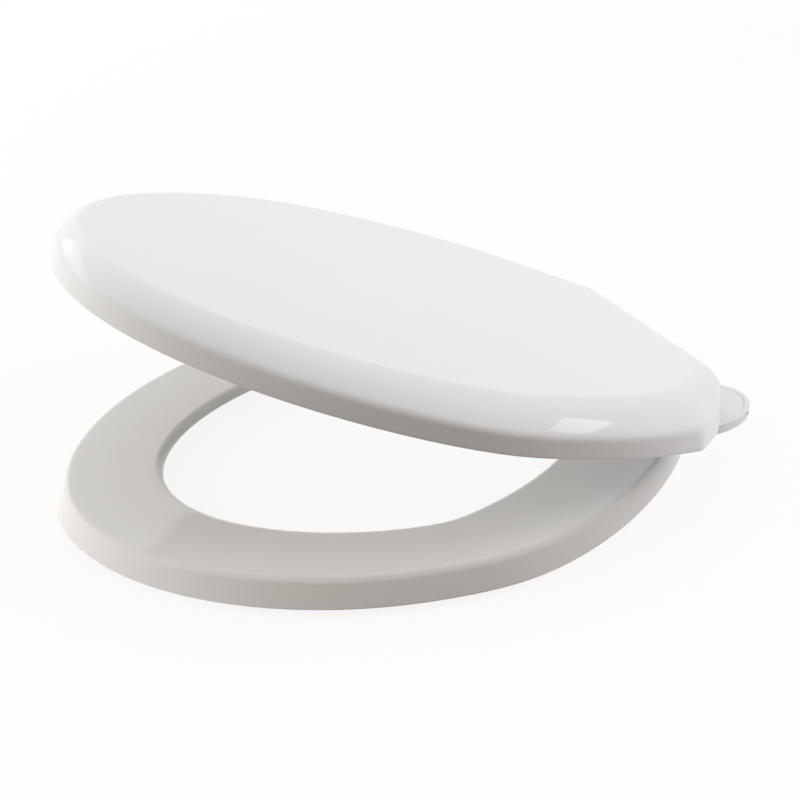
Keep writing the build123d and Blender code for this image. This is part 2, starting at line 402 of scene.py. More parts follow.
def noise_node(tree: bpy.types.NodeTree, detail: float, roughness: float) -> bpy.types.Node:
    """Noise texture with its detail set."""
    return add_node(tree, "TexNoise", {"Detail": detail, "Roughness": roughness})


def value_range(tree: bpy.types.NodeTree, low: float, high: float) -> bpy.types.Node:
    """Map Range node that spreads the middle of a noise over its whole range."""
    return add_node(tree, "MapRange", {"From Min": low, "From Max": high})


def math_node(tree: bpy.types.NodeTree, operation: str) -> bpy.types.Node:
    """Add a node that reckons with two or three values.

    Args:
        tree: Tree that the node joins.
        operation: What it does.

    Returns:
        The node.
    """
    node = add_node(tree, "Math")
    node.operation = operation
    return node


def colour_mix(tree: bpy.types.NodeTree) -> bpy.types.Node:
    """Add a node that mixes two colours.

    Args:
        tree: Tree that the node joins.

    Returns:
        The node.
    """
    node = add_node(tree, "Mix")
    node.data_type = "RGBA"
    return node


class Effects:
    """Shader node groups that several finishes share."""

    def __init__(self) -> None:
        """Build each group once."""
        self.tone = self.build_tone()
        self.polish = self.build_polish()
        self.ripple = self.build_ripple()

    def build_tone(self) -> bpy.types.NodeTree:
        """Build a slow drift between two shades of one colour.

        Returns:
            The group, which puts out a colour.
        """
        group = new_group(
            "tone_drift",
            {
                "Vector": ("NodeSocketVector", (0.0, 0.0, 0.0)),
                "Light": ("NodeSocketColor", (0.9, 0.9, 0.9, 1.0)),
                "Deep": ("NodeSocketColor", (0.8, 0.8, 0.8, 1.0)),
                "Scale": ("NodeSocketFloat", 6.0),
            },
            {"Color": "NodeSocketColor"},
        )
        given, result = group.nodes["in"].outputs, group.nodes["out"].inputs
        noise = noise_node(group, detail=3.0, roughness=0.5)
        spread = value_range(group, low=0.35, high=0.65)
        mix = colour_mix(group)
        wire(
            group,
            (given["Vector"], noise.inputs["Vector"]),
            (given["Scale"], noise.inputs["Scale"]),
            (noise.outputs["Fac"], spread.inputs["Value"]),
            (spread.outputs["Result"], mix.inputs["Factor"]),
            (given["Light"], mix.inputs["A"]),
            (given["Deep"], mix.inputs["B"]),
            (mix.outputs["Result"], result["Color"]),
        )
        return group

    def build_polish(self) -> bpy.types.NodeTree:
        """Build a roughness that wanders between a polished and a handled value.

        Returns:
            The group, which puts out a roughness.
        """
        group = new_group(
            "polish",
            {
                "Vector": ("NodeSocketVector", (0.0, 0.0, 0.0)),
                "Polished": ("NodeSocketFloat", 0.1),
                "Handled": ("NodeSocketFloat", 0.2),
                "Scale": ("NodeSocketFloat", 20.0),
            },
            {"Roughness": "NodeSocketFloat"},
        )
        given, result = group.nodes["in"].outputs, group.nodes["out"].inputs
        noise = noise_node(group, detail=5.0, roughness=0.6)
        spread = value_range(group, low=0.3, high=0.7)
        wire(
            group,
            (given["Vector"], noise.inputs["Vector"]),
            (given["Scale"], noise.inputs["Scale"]),
            (noise.outputs["Fac"], spread.inputs["Value"]),
            (given["Polished"], spread.inputs["To Min"]),
            (given["Handled"], spread.inputs["To Max"]),
            (spread.outputs["Result"], result["Roughness"]),
        )
        return group

    def build_ripple(self) -> bpy.types.NodeTree:
        """Build the height of a moulded skin: a slow swell with a fine grain on it.

        Returns:
            The group, which puts out a height.
        """
        group = new_group(
            "moulded_skin",
            {
                "Vector": ("NodeSocketVector", (0.0, 0.0, 0.0)),
                "Swell": ("NodeSocketFloat", 60.0),
                "Grain": ("NodeSocketFloat", 900.0),
                "Grain Share": ("NodeSocketFloat", 0.1),
            },
            {"Height": "NodeSocketFloat"},
        )
        given, result = group.nodes["in"].outputs, group.nodes["out"].inputs
        swell = noise_node(group, detail=1.0, roughness=0.4)
        grain = noise_node(group, detail=2.0, roughness=0.5)
        weigh = math_node(group, "MULTIPLY_ADD")
        wire(
            group,
            (given["Vector"], swell.inputs["Vector"]),
            (given["Vector"], grain.inputs["Vector"]),
            (given["Swell"], swell.inputs["Scale"]),
            (given["Grain"], grain.inputs["Scale"]),
            (grain.outputs["Fac"], weigh.inputs[0]),
            (given["Grain Share"], weigh.inputs[1]),
            (swell.outputs["Fac"], weigh.inputs[2]),
            (weigh.outputs["Value"], result["Height"]),
        )
        return group


@dataclass(frozen=True)
class Finish:
    """A finish, from its two shades to the ripple of its skin, with lengths in metres."""

    name: str
    light: Colour
    deep: Colour
    polished: float
    handled: float
    metallic: float = 0.0
    ior: float = 1.5
    coat: float = 0.0
    coat_roughness: float = 0.03
    tone_scale: float = 7.0
    polish_scale: float = 25.0
    swell: float = 70.0
    grain: float = 900.0
    grain_share: float = 0.1
    ripple_depth: float = 0.00004
    subsurface: float = 0.0
    subsurface_depth: float = 0.002

    def material(self, effects: Effects) -> bpy.types.Material:
        """Build the material.

        Args:
            effects: The shared node groups.

        Returns:
            A material on Object coordinates.
        """
        material = bpy.data.materials.new(self.name)
        material.use_nodes = True
        tree = material.node_tree
        shader = tree.nodes["Principled BSDF"]
        set_inputs(
            shader,
            {
                "Metallic": self.metallic,
                "IOR": self.ior,
                "Coat Weight": self.coat,
                "Coat Roughness": self.coat_roughness,
                "Subsurface Weight": self.subsurface,
                "Subsurface Scale": self.subsurface_depth,
            },
        )
        place = add_node(tree, "TexCoord").outputs["Object"]
        tone = self.placed(tree, effects.tone, place)
        shades = {"Light": (*self.light, 1.0), "Deep": (*self.deep, 1.0)}
        set_inputs(tone, {**shades, "Scale": self.tone_scale})
        polish = self.placed(tree, effects.polish, place)
        rough = {"Polished": self.polished, "Handled": self.handled}
        set_inputs(polish, {**rough, "Scale": self.polish_scale})
        ripple = self.placed(tree, effects.ripple, place)
        set_inputs(ripple, {"Swell": self.swell, "Grain": self.grain, "Grain Share": self.grain_share})
        bump = add_node(tree, "Bump", {"Strength": 1.0, "Distance": self.ripple_depth})
        wire(
            tree,
            (tone.outputs["Color"], shader.inputs["Base Color"]),
            (polish.outputs["Roughness"], shader.inputs["Roughness"]),
            (ripple.outputs["Height"], bump.inputs["Height"]),
            (bump.outputs["Normal"], shader.inputs["Normal"]),
        )
        return material

    @staticmethod
    def placed(
        tree: bpy.types.NodeTree, group: bpy.types.NodeTree, place: bpy.types.NodeSocket
    ) -> bpy.types.Node:
        """Place a shared group in a material.

        Args:
            tree: The material's tree.
            group: The shared group.
            place: Coordinates that the group reads.

        Returns:
            The group's node.
        """
        node = add_node(tree, "Group")
        node.node_tree = group
        tree.links.new(place, node.inputs["Vector"])
        return node


LID_RESIN = Finish(
    "lid_resin",
    light=(0.866, 0.89, 0.905),
    deep=(0.852, 0.876, 0.892),
    polished=0.025,
    handled=0.055,
    coat=0.5,
)
RING_RESIN = Finish(
    "ring_resin",
    light=(0.9, 0.896, 0.888),
    deep=(0.885, 0.88, 0.87),
    polished=0.03,
    handled=0.07,
    coat=0.4,
    ripple_depth=0.00006,
)
FOOT_PLASTIC = Finish(
    "foot_plastic",
    light=(0.89, 0.895, 0.905),
    deep=(0.875, 0.88, 0.89),
    polished=0.16,
    handled=0.24,
    swell=140.0,
)
COVER_PLASTIC = Finish(
    "cover_plastic",
    light=(0.9, 0.905, 0.915),
    deep=(0.885, 0.89, 0.9),
    polished=0.14,
    handled=0.2,
    swell=140.0,
)
GASKET_RUBBER = Finish(
    "gasket_rubber",
    light=(0.6, 0.6, 0.58),
    deep=(0.5, 0.5, 0.48),
    polished=0.55,
    handled=0.75,
    grain=1500.0,
    grain_share=0.6,
    ripple_depth=0.0001,
)
BUFFER_RUBBER = Finish(
    "buffer_rubber",
    light=(0.78, 0.78, 0.75),
    deep=(0.68, 0.68, 0.64),
    polished=0.38,
    handled=0.55,
    grain=1200.0,
    grain_share=0.5,
    ripple_depth=0.00008,
    subsurface=0.3,
)
TURNED_STEEL = Finish(
    "turned_steel",
    light=(0.7, 0.7, 0.71),
    deep=(0.6, 0.6, 0.62),
    polished=0.22,
    handled=0.36,
    metallic=1.0,
    tone_scale=60.0,
    polish_scale=180.0,
    grain=2500.0,
    grain_share=0.6,
    ripple_depth=0.00002,
)
BUSH_PLASTIC = Finish(
    "bush_plastic",
    light=(0.84, 0.84, 0.82),
    deep=(0.78, 0.78, 0.75),
    polished=0.4,
    handled=0.55,
    grain_share=0.4,
)


# Pieces


@dataclass
class Hinge:
    """Axis that ring and lid turn on, and the lugs that carry them, in millimetres."""

    y: float = -26.0
    z: float = 30.0
    eye_radius: float = 6.5
    bore_radius: float = 4.98
    lug_width: float = 11.0
    lug_round: float = 0.5
    root_size: float = 1.0
    bore_overrun: float = 1.0

    def lug(self, name: str, side: Side, start: float, root: tuple[Point, Point]) -> bpy.types.Object:
        """Make a lug: an eye round the axis, hulled to a line on its carrier, with its bore.

        Args:
            name: Name of the piece.
            side: Side of the seat.
            start: Distance from the middle to the lug's near face.
            root: Two (y, z) points that the web runs to.

        Returns:
            The lug.
        """
        low = start if side is Side.RIGHT else -start - self.lug_width
        bar_on_axis(self.eye_radius, low, self.lug_width, self.y, self.z)
        piece = named(name)
        bpy.ops.object.mode_set(mode="EDIT")
        for y, z in root:
            spot = Vector((low + self.lug_width / 2, y, z)) * MM
            block = Vector((self.lug_width, self.root_size, self.root_size)) * MM
            bpy.ops.mesh.primitive_cube_add(size=1.0, location=spot, scale=block)
        bpy.ops.mesh.select_all(action="SELECT")
        bpy.ops.mesh.convex_hull()
        bpy.ops.object.mode_set(mode="OBJECT")
        soften_edges(piece, self.lug_round)
        bore_width = self.lug_width + 2 * self.bore_overrun
        bore = bar_on_axis(self.bore_radius, low - self.bore_overrun, bore_width, self.y, self.z)
        cut_away(piece, bore)
        return piece

    def raised(self, piece: bpy.types.Object, angle: float) -> None:
        """Turn a closed lid piece up about the axis by an angle in degrees."""
        axis = Matrix.Translation(Vector((0.0, self.y, self.z)) * MM)
        piece.data.transform(axis @ Matrix.Rotation(math.radians(-angle), 4, "X") @ axis.inverted())


@dataclass(frozen=True)
class Boss:
    """A boss under lid or ring with the blind hole of a buffer's stem, in millimetres."""

    radius: float = 9.5
    hole_radius: float = 3.03
    hole_depth: float = 7.0
    sides: int = 48
    facing_down: float = -0.9

    def model(self, name: str, x: float, y: float, foot: float, height: float) -> bpy.types.Object:
        """Model the boss in its place.

        Args:
            name: Name of the piece.
            x: Place across.
            y: Place along.
            foot: Height of its open end.
            height: Length upwards.

        Returns:
            The boss.
        """
        bpy.ops.object.select_all(action="DESELECT")
        bpy.ops.mesh.primitive_cylinder_add(
            vertices=self.sides, radius=self.radius * MM, depth=height * MM
        )
        piece = named(name)
        piece.data.transform(Matrix.Translation(Vector((x, y, foot + height / 2)) * MM))
        bpy.ops.object.mode_set(mode="EDIT")
        bpy.ops.mesh.select_mode(type="FACE")
        bpy.ops.mesh.select_all(action="DESELECT")
        bpy.ops.object.mode_set(mode="OBJECT")
        for polygon in piece.data.polygons:
            polygon.select = polygon.normal.z < self.facing_down
        bpy.ops.object.mode_set(mode="EDIT")
        bpy.ops.mesh.inset(thickness=(self.radius - self.hole_radius) * MM)
        inwards = (0.0, 0.0, self.hole_depth * MM)
        bpy.ops.mesh.extrude_region_move(TRANSFORM_OT_translate={"value": inwards})
        bpy.ops.mesh.select_mode(type="VERT")
        bpy.ops.object.mode_set(mode="OBJECT")
        tidy_shell(piece)
        return piece


@dataclass
class Lid:
    """The lid: a moulded shell with a skirt, a crowned rim and a flat panel, in millimetres."""

    half_width: float = 182.1
    widest_y: float = -259.6
    nose_length: float = 207.2
    nose_power_x: float = 2.12
    nose_power_y: float = 1.61
    side_power: float = 1.89
    shoulder_x: float = 153.9
    shoulder_y: float = -102.1
    shoulder_angle: float = 27.0
    flank_angle: float = 36.9
    rear_y: float = -35.1
    rear_bulge: float = 1.1
    skirt_z: float = 20.7
    wall: float = 4.5
    skirt: float = 10.3
    roll_radius: float = 6.0
    roll_turn: float = 45.0
    crown_radius: float = 42.0
    crown_end: float = 11.4
    wall_slope: float = 14.0
    border_radius: float = 12.0
    nose_share: float = 0.45
    rear_rim_width: float = 9.0
    rear_fullness: float = 4.0
    flank_lean: float = 8.0
    ease_height: float = 20.0
    foot_ease: float = 3.0
    top_ease: float = 16.0
    corner_ease: float = 3.6
    scoop_radius: float = 31.5
    scoop_y: float = -36.1
    scoop_z: float = 8.4
    lip_round: float = 0.8
    rest_angle: float = 19.4
    lug_start: float = 51.0
    buffer_x: float = 92.0
    buffer_y: float = -385.0
    boss_z: float = 26.0
    lug_reach: float = 40.0
    lug_heel: float = 20.0
    lug_bite: float = 0.5
    lug_drop: float = 1.0
    boss_bite: float = 1.0
    smooth_angle: float = 32.0
    panel_rings: Point = (6.0, 20.0)
    side_shares: tuple[float, ...] = (0.25, 0.5, 0.75, 1.0)
    lip_turns: tuple[float, ...] = (0.0, 30.0, 60.0, 90.0)
    bow_steps: int = 8
    curve_steps: int = 12
    edge_steps: int = 96
    corner_steps: int = 10
    flank_steps: int = 12
    rear_steps: int = 20
    wall_samples: int = 64
    skin_steps: int = 38
    hollow_steps: int = 20
    skin_crown_steps: int = 3
    hollow_crown_steps: int = 2
    border_steps: int = 4
    hinge: Hinge = field(default_factory=Hinge)
    boss: Boss = field(default_factory=Boss)

    def outline(self, side: float, nose: float, flank: float, back: float, ease: float) -> np.ndarray:
        """Plan of the lid, drawn in from its foot.

        Args:
            side: Amount along the sides.
            nose: Amount at the nose.
            flank: Amount along the flanks.
            back: Amount at the rear.
            ease: Length of the rounding on each side of a shoulder.

        Returns:
            Closed outline from the nose round the right side.
        """
        half_width = self.half_width - side
        inward = math.radians(self.shoulder_angle)
        shoulder = np.array(
            [self.shoulder_x - flank * math.cos(inward), self.shoulder_y - flank * math.sin(inward)]
        )
        corner_y = self.rear_y - back
        corner_x = shoulder[0] - (corner_y - shoulder[1]) * math.tan(math.radians(self.flank_angle))
        corner = np.array([corner_x, corner_y])
        length = self.nose_length - nose
        front = bow(half_width, length, self.nose_power_x, self.nose_power_y, self.bow_steps)
        knots = [(x, self.widest_y - reach) for x, reach in reversed(front)]
        for share in self.side_shares:
            x = half_width - (half_width - shoulder[0]) * share**self.side_power
            knots.append((x, self.widest_y + (shoulder[1] - self.widest_y) * share))
        mirrored = [(-x, y) for x, y in reversed(knots[1:])]
        whole = spline_through(mirrored + knots, self.curve_steps)
        edge = whole[len(whole) // 2 :]
        along = (corner - shoulder) / np.linalg.norm(corner - shoulder)
        bow_edge = evenly(edge, self.edge_steps, cut=ease)
        flank_start = shoulder + along * ease
        flank_end = corner - along * self.corner_ease
        rear_x = np.linspace(corner_x - self.corner_ease, 0.0, self.rear_steps + 1)
        rear = np.column_stack([rear_x, corner_y + self.rear_bulge * (1 - (rear_x / corner_x) ** 2)])
        half = np.concatenate(
            [
                bow_edge[:-1],
                eased_corner(bow_edge[-1], shoulder, flank_start, self.corner_steps)[:-1],
                evenly(np.array([flank_start, flank_end]), self.flank_steps)[:-1],
                eased_corner(flank_end, corner, rear[0], self.corner_steps)[:-1],
                rear,
            ]
        )
        return both_halves(half)

    def climb(self, run: float) -> tuple[float, float]:
        """Climb the section over skirt, roll and crown.

        Args:
            run: Distance up the section from the foot.

        Returns:
            Height above the foot, and inset from the side.
        """
        turn = math.radians(self.roll_turn)
        roll = (run - self.skirt) / self.roll_radius
        if roll <= 0:
            return run, 0.0
        if roll <= turn:
            rise = self.roll_radius * math.sin(roll)
            return self.skirt + rise, self.roll_radius * (1 - math.cos(roll))
        height, side = self.climb(self.skirt + self.roll_radius * turn)
        steepest = math.pi / 2 - turn
        slope = steepest - self.roll_radius * (roll - turn) / self.crown_radius
        height += self.crown_radius * (math.cos(slope) - math.cos(steepest))
        return height, side + self.crown_radius * (math.sin(steepest) - math.sin(slope))

    def run_to(self, slope: float) -> float:
        """Find where the crown has a slope.

        Args:
            slope: The slope in degrees.

        Returns:
            Distance up the section from the foot.
        """
        steepest = 90 - self.roll_turn
        roll = self.roll_radius * math.radians(self.roll_turn)
        return self.skirt + roll + self.crown_radius * math.radians(steepest - slope)

    def level(self, height: float, side: float, wall: float, inward: float = 0.0) -> np.ndarray:
        """One loop of the skin, or of the hollow inside it.

        Args:
            height: Height above the foot.
            side: Inset along the sides at that height.
            wall: Wall between the skin and this loop.
            inward: Further inset all round.

        Returns:
            Loop of points on the closed lid.
        """
        top = self.climb(self.run_to(self.crown_end))[0]
        eased = min(height / self.ease_height, 1.0)
        ease = self.foot_ease + (self.top_ease - self.foot_ease) * eased
        climbed = min(max(height - self.skirt, 0.0) / (top - self.skirt), 1.0)
        back = self.rear_rim_width * (1 - (1 - climbed**self.rear_fullness) ** (1 / self.rear_fullness))
        inset = wall + inward
        flank = side + self.flank_lean * eased
        nose = self.nose_share * side
        plan = self.outline(side + inset, nose + inset, flank + inset, back + inset, ease)
        return at_height(plan, self.skirt_z + height - wall)

    def edge_wall(self, wall: float, steps: int) -> np.ndarray:
        """Loops from the foot, which the scoop round the hinge raises, to part-way up the crown.

        Args:
            wall: Wall between the skin and these loops.
            steps: Number of steps.

        Returns:
            steps + 1 loops.
        """
        runs = np.linspace(0.0, self.run_to(self.wall_slope), self.wall_samples + 1)
        stack = np.array([self.level(*self.climb(run), wall) for run in runs])
        reach = np.abs(stack[:, :, 1] - self.scoop_y)
        rise = np.sqrt(np.maximum(self.scoop_radius**2 - reach**2, 0.0))
        foot = np.maximum(self.skirt_z, self.scoop_z + rise)
        above = stack[:, :, 2] - foot
        loops = np.zeros((steps + 1, stack.shape[1], 3))
        for i in range(stack.shape[1]):
            first = np.interp(0.0, above[:, i], np.arange(len(stack)))
            at = np.linspace(first, len(stack) - 1, steps + 1)
            for axis in range(3):
                loops[:, i, axis] = np.interp(at, np.arange(len(stack)), stack[:, i, axis])
        return loops

    def crown(self, wall: float, steps: int) -> list[np.ndarray]:
        """Loops over the upper crown, its rounded border and the panel.

        Args:
            wall: Wall between the skin and these loops.
            steps: Number of steps over the crown.

        Returns:
            The loops, inwards.
        """
        runs = np.linspace(self.run_to(self.wall_slope), self.run_to(self.crown_end), steps + 1)
        loops = [self.level(*self.climb(run), wall) for run in runs[1:]]
        height, side = self.climb(runs[-1])
        end = math.radians(self.crown_end)
        for slope in np.linspace(end, 0.0, self.border_steps + 1)[1:]:
            inward = self.border_radius * (math.sin(end) - math.sin(slope))
            lift = self.border_radius * (math.cos(slope) - math.cos(end))
            loops.append(self.level(height + lift, side, wall, inward))
        for more in self.panel_rings:
            loops.append(self.level(height + lift, side, wall, inward + more))
        return loops

    def lip(self, outer: np.ndarray, inner: np.ndarray) -> tuple[list[np.ndarray], list[np.ndarray]]:
        """Round both edges of the foot.

        Args:
            outer: First two loops of the skin, from the foot.
            inner: First two loops of the hollow, from the foot.

        Returns:
            Loops round the inner edge, outwards, and loops round the outer edge, upwards.
        """
        across = unit(inner[0] - outer[0])
        turns = np.radians(self.lip_turns)
        inside, outside = [], []
        up = unit(inner[1] - inner[0])
        centre = inner[0] + self.lip_round * (up - across)
        for turn in turns:
            inside.append(centre + self.lip_round * (across * math.cos(turn) - up * math.sin(turn)))
        up = unit(outer[1] - outer[0])
        centre = outer[0] + self.lip_round * (up + across)
        for turn in reversed(turns):
            outside.append(centre - self.lip_round * (across * math.cos(turn) + up * math.sin(turn)))
        return inside, outside

    def shell(self) -> bpy.types.Object:
        """Model the closed shell, from the ceiling of its hollow over the foot to the panel.

        Returns:
            The shell of the closed lid.
        """
        outer = self.edge_wall(0.0, self.skin_steps)
        inner = self.edge_wall(self.wall, self.hollow_steps)
        inside, outside = self.lip(outer[:2], inner[:2])
        under = self.crown(self.wall, self.hollow_crown_steps)[::-1]
        over = self.crown(0.0, self.skin_crown_steps)
        loops = under + list(inner[:1:-1]) + inside + outside + list(outer[2:]) + over
        return skin("lid_shell", loops, Ends.CAPPED)

    def build(self) -> bpy.types.Object:
        """Model the lid with its lugs and bosses, raised as it stands.

        Returns:
            The lid.
        """
        ceiling = self.skirt_z + self.climb(self.run_to(self.crown_end))[0] - self.wall
        root = (
            (self.hinge.y - self.lug_reach, ceiling + self.lug_bite),
            (self.hinge.y - self.lug_heel, ceiling - self.lug_drop),
        )
        rise = ceiling + self.boss_bite - self.boss_z
        pieces = [self.shell()]
        for side in Side:
            pieces.append(self.hinge.lug("lid_lug", side, self.lug_start, root))
            x = side.value * self.buffer_x
            pieces.append(self.boss.model("lid_boss", x, self.buffer_y, self.boss_z, rise))
        lid = joined(pieces)
        self.hinge.raised(lid, self.rest_angle)
        shade(lid, self.smooth_angle)
        return lid

    def dress(self, effects: Effects) -> bpy.types.Object:
        """Build the lid, give it its finish and put it on its body.

        Args:
            effects: The shared node groups.

        Returns:
            The finished piece.
        """
        lid = self.build()
        lid.data.materials.append(LID_RESIN.material(effects))
        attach(lid, Body.LID.value)
        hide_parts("lid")
        return lid


@dataclass
class SeatRing:
    """The closed-front ring, hollow below, in millimetres."""

    half_width: float = 173.0
    widest_y: float = -232.4
    nose_length: float = 231.0
    nose_power_x: float = 1.88
    nose_power_y: float = 1.95
    tail_length: float = 222.0
    tail_power: float = 1.64
    rear_y: float = -36.5
    corner_ease: float = 9.0
    bottom_z: float = 5.0
    top_z: float = 21.8
    lean: float = 7.0
    wall: float = 4.5
    outer_round: float = 4.4
    inner_round: float = 6.0
    inner_top_z: float = 18.0
    inner_slope: float = 4.0
    lip_z: float = 11.3
    lip_round: float = 0.7
    foot_round: float = 1.2
    hole_half_width: float = 111.4
    hole_y: float = -253.8
    hole_nose_length: float = 140.7
    hole_tail_length: float = 152.0
    hole_power_x: float = 2.04
    hole_power_y: float = 1.53
    lug_start: float = 24.0
    front_buffer: Point = (92.0, -385.0)
    rear_buffer: Point = (117.0, -150.0)
    lug_reach: float = 40.0
    lug_bite: float = 1.5
    lug_lift: float = 0.5
    smooth_angle: float = 35.0
    tail_shares: tuple[float, ...] = (0.17, 0.34, 0.52, 0.7, 0.86, 1.0)
    channel_shares: tuple[float, ...] = (0.25, 0.5, 0.75)
    bow_steps: int = 8
    curve_steps: int = 12
    hole_curve_steps: int = 16
    hole_overlap: int = 5
    edge_steps: int = 104
    corner_steps: int = 12
    rear_steps: int = 24
    foot_steps: int = 6
    outer_steps: int = 10
    top_steps: int = 10
    inner_steps: int = 13
    lip_steps: int = 4
    hinge: Hinge = field(default_factory=Hinge)
    boss: Boss = field(default_factory=Boss)

    def outline(self, inset: float) -> np.ndarray:
        """Plan of the ring's outside.

        Args:
            inset: Amount that it is drawn in.

        Returns:
            Closed outline from the nose round the right side.
        """
        half_width = self.half_width - inset
        tail = self.tail_length - inset
        rear_share = (self.rear_y - inset - self.widest_y) / tail
        length = self.nose_length - inset
        nose = bow(half_width, length, self.nose_power_x, self.nose_power_y, self.bow_steps)
        knots = [(x, self.widest_y - reach) for x, reach in reversed(nose)]
        for share in self.tail_shares:
            reach = rear_share * share
            narrowing = (1 - reach**self.tail_power) ** (1 / self.tail_power)
            knots.append((half_width * narrowing, self.widest_y + reach * tail))
        mirrored = [(-x, y) for x, y in reversed(knots[1:])]
        whole = spline_through(mirrored + knots, self.curve_steps)
        edge = evenly(whole[len(whole) // 2 :], self.edge_steps, cut=self.corner_ease)
        corner = np.array(knots[-1])
        rear_start = corner - np.array([self.corner_ease, 0.0])
        rear = evenly(np.array([rear_start, [0.0, corner[1]]]), self.rear_steps)
        turn = eased_corner(edge[-1], corner, rear_start, self.corner_steps)
        return both_halves(np.concatenate([edge[:-1], turn[:-1], rear]))

    def hole(self, inset: float, bearing: np.ndarray) -> np.ndarray:
        """Plan of the opening.

        Args:
            inset: Amount that it is widened.
            bearing: Bearings of its points from its middle, in radians.

        Returns:
            One point on each bearing.
        """
        half_width = self.hole_half_width + inset
        nose, tail = (
            bow(half_width, length + inset, self.hole_power_x, self.hole_power_y, self.bow_steps)
            for length in (self.hole_nose_length, self.hole_tail_length)
        )
        side = [(x, -reach) for x, reach in reversed(nose)] + [(x, reach) for x, reach in tail[1:]]
        other = [(-x, y) for x, y in reversed(side)]
        before = other[-self.hole_overlap - 1 : -1]
        after = side[1 : self.hole_overlap + 1]
        line = spline_through(before + side + other[1:] + after, self.hole_curve_steps)
        turn = np.unwrap(np.arctan2(line[:, 1], line[:, 0]))
        wanted = np.unwrap(bearing)
        reach = np.interp(wanted, turn, np.linalg.norm(line, axis=1))
        return np.column_stack([reach * np.cos(wanted), self.hole_y + reach * np.sin(wanted)])

    def outer_arc(
        self, radius: float, middle_z: float, start: float, end: float, steps: int
    ) -> list[np.ndarray]:
        """Loops round an arc that the leaning outer wall runs into.

        Args:
            radius: Radius of the arc.
            middle_z: Height of its middle.
            start: First bearing of its outward normal, in degrees above level.
            end: Last bearing.
            steps: Number of steps.

        Returns:
            steps + 1 loops.
        """
        lean = math.atan2(self.lean, self.top_z - self.bottom_z)
        middle = (middle_z - self.bottom_z) * math.tan(lean) + radius / math.cos(lean)
        loops = []
        for turn in np.radians(np.linspace(start, end, steps + 1)):
            inset = middle - radius * math.cos(turn)
            loops.append(at_height(self.outline(inset), middle_z + radius * math.sin(turn)))
        return loops

    def section(self) -> list[np.ndarray]:
        """Draw the ring's section: outer wall, sloping top, inner lip and channel.

        Returns:
            Loops round the section, in order.
        """
        base = self.outline(0.0)
        bearing = np.arctan2(base[:, 1] - self.hole_y, base[:, 0])
        bearing[0] = -math.pi / 2
        lean = math.degrees(math.atan2(self.lean, self.top_z - self.bottom_z))
        full = 90.0 + self.inner_slope
        foot_z, shoulder_z = self.bottom_z + self.foot_round, self.top_z - self.outer_round
        loops = self.outer_arc(self.foot_round, foot_z, -90.0, lean, self.foot_steps)
        loops += self.outer_arc(self.outer_round, shoulder_z, lean, full, self.outer_steps)
        top_edge = loops[-2]
        lip = []
        for turn in np.radians(np.linspace(90.0 - self.inner_slope, 0.0, self.inner_steps + 1)):
            inset = self.inner_round * (1 - math.cos(turn))
            height = self.inner_top_z - self.inner_round * (1 - math.sin(turn))
            lip.append(at_height(self.hole(inset, bearing), height))
        for share in np.linspace(0, 1, self.top_steps + 1)[1:-1]:
            loops.append(top_edge * (1 - share) + lip[0] * share)
        loops += lip
        for turn in np.radians(np.linspace(0, 90, self.lip_steps + 1)):
            inset = self.lip_round * (1 - math.cos(turn))
            height = self.lip_z + self.lip_round * (1 - math.sin(turn))
            loops.append(at_height(self.hole(inset, bearing), height))
        inner, outer = self.hole(self.wall, bearing), self.outline(self.wall + self.lean)
        low, high = self.inner_top_z - self.wall, self.top_z - self.wall
        loops.append(at_height(inner, self.lip_z))
        loops.append(at_height(inner, low))
        for share in self.channel_shares:
            loops.append(at_height(inner * (1 - share) + outer * share, low + (high - low) * share))
        loops.append(at_height(outer, high))
        loops.append(at_height(outer, self.bottom_z))
        return loops

    def build(self) -> bpy.types.Object:
        """Model the ring with its lugs and bosses.

        Returns:
            The ring.
        """
        pieces = [skin("seat_ring_body", self.section(), Ends.JOINED)]
        root = (
            (self.hinge.y - self.lug_reach, self.inner_top_z - self.lug_bite),
            (self.rear_y - self.lug_bite, self.bottom_z + self.wall + self.lug_lift),
        )
        rise = self.inner_top_z - self.bottom_z - self.lug_bite
        for side in Side:
            pieces.append(self.hinge.lug("ring_lug", side, self.lug_start, root))
            for x, y in (self.front_buffer, self.rear_buffer):
                pieces.append(self.boss.model("ring_boss", side.value * x, y, self.bottom_z, rise))
        ring = joined(pieces)
        shade(ring, self.smooth_angle)
        return ring

    def dress(self, effects: Effects) -> bpy.types.Object:
        """Build the ring, give it its finish and put it on its body.

        Args:
            effects: The shared node groups.

        Returns:
            The finished piece.
        """
        ring = self.build()
        ring.data.materials.append(RING_RESIN.material(effects))
        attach(ring, Body.RING.value)
        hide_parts("seat_ring")
        return ring


@dataclass
class Fittings:
    """Hinge feet, pins, bushes and buffers, which keep their solids' shapes."""

    finishes: dict[str, Finish] = field(
        default_factory=lambda: {
            "hinge_plate": FOOT_PLASTIC,
            "plate_cap": COVER_PLASTIC,
            "plate_pad": GASKET_RUBBER,
            "hinge_pin": TURNED_STEEL,
            "pin_clip": TURNED_STEEL,
            "lid_bush": BUSH_PLASTIC,
            "ring_bush": BUSH_PLASTIC,
            "seat_buffer": BUFFER_RUBBER,
            "lid_buffer": BUFFER_RUBBER,
        }
    )

    def dress(self, effects: Effects, nodes: dict[str, bpy.types.Object]) -> list[str]:
        """Give every small piece its finish.

        Args:
            effects: The shared node groups.
            nodes: The solids by name.

        Returns:
            Names of the pieces that were dressed.
        """
        made: dict[str, bpy.types.Material] = {}
        dressed = []
        for name, node in nodes.items():
            for stem, finish in self.finishes.items():
                if name.startswith(stem):
                    if finish.name not in made:
                        made[finish.name] = finish.material(effects)
                    node.data.materials.clear()
                    node.data.materials.append(made[finish.name])
                    dressed.append(name)
        return dressed


# Studio


